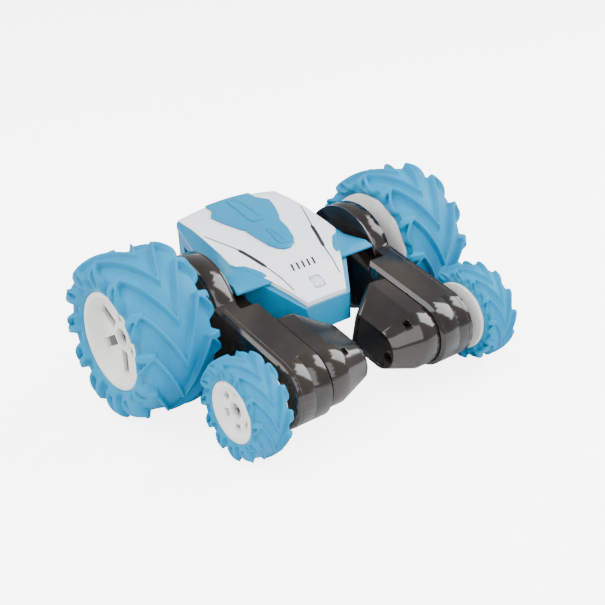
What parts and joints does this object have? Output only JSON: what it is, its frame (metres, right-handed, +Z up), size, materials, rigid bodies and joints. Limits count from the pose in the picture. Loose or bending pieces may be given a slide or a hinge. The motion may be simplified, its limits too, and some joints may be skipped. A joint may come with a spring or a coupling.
{
  "type": "rc stunt car",
  "caption": "Palm-sized remote-control stunt car: a centre body between two swinging arms, each with a motor, a gear train, a big wheel and a small wheel.",
  "frame": {"origin": "middle of the footprint on the ground under the tyres", "axes": "+X forward to the small wheels, +Y to the car's left, +Z up"},
  "size_m": [0.0988, 0.1502, 0.06],
  "materials": {
    "white_shell": "gloss",
    "blue_shell": "satin",
    "tyre": "soft satin rubber",
    "rim": "satin",
    "smoked_plastic": "gloss",
    "steel": "turned",
    "screw": "plated",
    "motor_can": "plated",
    "gear_plastic": "moulded",
    "pinion_brass": "turned",
    "clear_window": "clear gloss",
    "battery_wrap": "shrink wrap",
    "board": "lacquered",
    "switch_metal": "plated",
    "black_plastic": "moulded",
    "wire": "insulated"
  },
  "bodies": {
    "body": {"top_shell": "white_shell", "lower_shell": "blue_shell", "left_side_panel": "blue_shell", "right_side_panel": "blue_shell", "centre_panel": "blue_shell", "indicator_window": "clear_window", "battery": "battery_wrap", "battery_door": "blue_shell", "battery_door_screw": "screw", "circuit_board": "board", "switch_housing": "switch_metal", "body_screws": "screw", "battery_leads": "wire"},
    "power_switch": {"switch_slider": "black_plastic"},
    "right_arm": {"right_arm_outer_case": "smoked_plastic", "right_arm_inner_case": "smoked_plastic", "right_motor_pod": "smoked_plastic", "right_case_screws": "screw", "right_idler_pins": "steel", "right_motor": "motor_can", "right_pivot_clip": "gear_plastic"},
    "right_big_wheel": {"right_big_tyre": "tyre", "right_big_rim": "rim", "right_big_rim_back": "rim", "right_big_axle": "steel", "right_big_wheel_screw": "screw", "right_big_gear": "gear_plastic"},
    "right_small_wheel": {"right_small_tyre": "tyre", "right_small_rim": "rim", "right_small_rim_back": "rim", "right_small_axle": "steel", "right_small_wheel_screw": "screw", "right_small_gear": "gear_plastic"},
    "right_idler": {"right_idler_gear": "gear_plastic"},
    "right_compound": {"right_compound_gear": "gear_plastic"},
    "right_transfer": {"right_transfer_gear": "gear_plastic"},
    "right_pinion": {"right_motor_pinion": "pinion_brass"},
    "left_arm": {"left_arm_outer_case": "smoked_plastic", "left_arm_inner_case": "smoked_plastic", "left_motor_pod": "smoked_plastic", "left_case_screws": "screw", "left_idler_pins": "steel", "left_motor": "motor_can", "left_pivot_clip": "gear_plastic"},
    "left_big_wheel": {"left_big_tyre": "tyre", "left_big_rim": "rim", "left_big_rim_back": "rim", "left_big_axle": "steel", "left_big_wheel_screw": "screw", "left_big_gear": "gear_plastic"},
    "left_small_wheel": {"left_small_tyre": "tyre", "left_small_rim": "rim", "left_small_rim_back": "rim", "left_small_axle": "steel", "left_small_wheel_screw": "screw", "left_small_gear": "gear_plastic"},
    "left_idler": {"left_idler_gear": "gear_plastic"},
    "left_compound": {"left_compound_gear": "gear_plastic"},
    "left_transfer": {"left_transfer_gear": "gear_plastic"},
    "left_pinion": {"left_motor_pinion": "pinion_brass"}
  },
  "joints": [
    {"name": "power_switch_slide", "type": "slide", "parent": "body", "child": "power_switch", "axis": [0, 1, 0], "range_m": [0, 0.0025]},
    {"name": "right_arm_swing", "type": "hinge", "parent": "body", "child": "right_arm", "pos_m": [-0.01945, -0.022, 0.03], "axis": [0, 1, 0], "range_deg": [0, 160]},
    {"name": "right_big_wheel_spin", "type": "hinge", "parent": "right_arm", "child": "right_big_wheel", "pos_m": [-0.01945, -0.0596, 0.03], "axis": [0, 1, 0], "continuous": true},
    {"name": "right_small_wheel_spin", "type": "hinge", "parent": "right_arm", "child": "right_small_wheel", "pos_m": [0.03115, -0.05235, 0.0183], "axis": [0, 1, 0], "continuous": true},
    {"name": "right_idler_spin", "type": "hinge", "parent": "right_arm", "child": "right_idler", "pos_m": [-0.00133, -0.036, 0.02581], "axis": [0, 1, 0], "continuous": true},
    {"name": "right_compound_spin", "type": "hinge", "parent": "right_arm", "child": "right_compound", "pos_m": [0.01183, -0.034, 0.02277], "axis": [0, 1, 0], "continuous": true},
    {"name": "right_transfer_spin", "type": "hinge", "parent": "right_arm", "child": "right_transfer", "pos_m": [0.02141, -0.036, 0.02222], "axis": [0, 1, 0], "continuous": true},
    {"name": "right_motor_spin", "type": "hinge", "parent": "right_arm", "child": "right_pinion", "pos_m": [0.02254, -0.03, 0.02029], "axis": [0, 1, 0], "continuous": true},
    {"name": "left_arm_swing", "type": "hinge", "parent": "body", "child": "left_arm", "pos_m": [-0.01945, 0.022, 0.03], "axis": [0, 1, 0], "range_deg": [0, 160]},
    {"name": "left_big_wheel_spin", "type": "hinge", "parent": "left_arm", "child": "left_big_wheel", "pos_m": [-0.01945, 0.0596, 0.03], "axis": [0, 1, 0], "continuous": true},
    {"name": "left_small_wheel_spin", "type": "hinge", "parent": "left_arm", "child": "left_small_wheel", "pos_m": [0.03115, 0.05235, 0.0183], "axis": [0, 1, 0], "continuous": true},
    {"name": "left_idler_spin", "type": "hinge", "parent": "left_arm", "child": "left_idler", "pos_m": [-0.00133, 0.036, 0.02581], "axis": [0, 1, 0], "continuous": true},
    {"name": "left_compound_spin", "type": "hinge", "parent": "left_arm", "child": "left_compound", "pos_m": [0.01183, 0.034, 0.02277], "axis": [0, 1, 0], "continuous": true},
    {"name": "left_transfer_spin", "type": "hinge", "parent": "left_arm", "child": "left_transfer", "pos_m": [0.02141, 0.036, 0.02222], "axis": [0, 1, 0], "continuous": true},
    {"name": "left_motor_spin", "type": "hinge", "parent": "left_arm", "child": "left_pinion", "pos_m": [0.02254, 0.03, 0.02029], "axis": [0, 1, 0], "continuous": true}
  ],
  "couplings": [
    {"joint": "right_idler_spin", "follows": "right_big_wheel_spin", "ratio": -1.3846},
    {"joint": "right_compound_spin", "follows": "right_big_wheel_spin", "ratio": 1.8947},
    {"joint": "right_transfer_spin", "follows": "right_big_wheel_spin", "ratio": -2.7692},
    {"joint": "right_small_wheel_spin", "follows": "right_big_wheel_spin", "ratio": 1.6364},
    {"joint": "right_motor_spin", "follows": "right_big_wheel_spin", "ratio": -6.4421},
    {"joint": "left_idler_spin", "follows": "left_big_wheel_spin", "ratio": -1.3846},
    {"joint": "left_compound_spin", "follows": "left_big_wheel_spin", "ratio": 1.8947},
    {"joint": "left_transfer_spin", "follows": "left_big_wheel_spin", "ratio": -2.7692},
    {"joint": "left_small_wheel_spin", "follows": "left_big_wheel_spin", "ratio": 1.6364},
    {"joint": "left_motor_spin", "follows": "left_big_wheel_spin", "ratio": -6.4421}
  ]
}
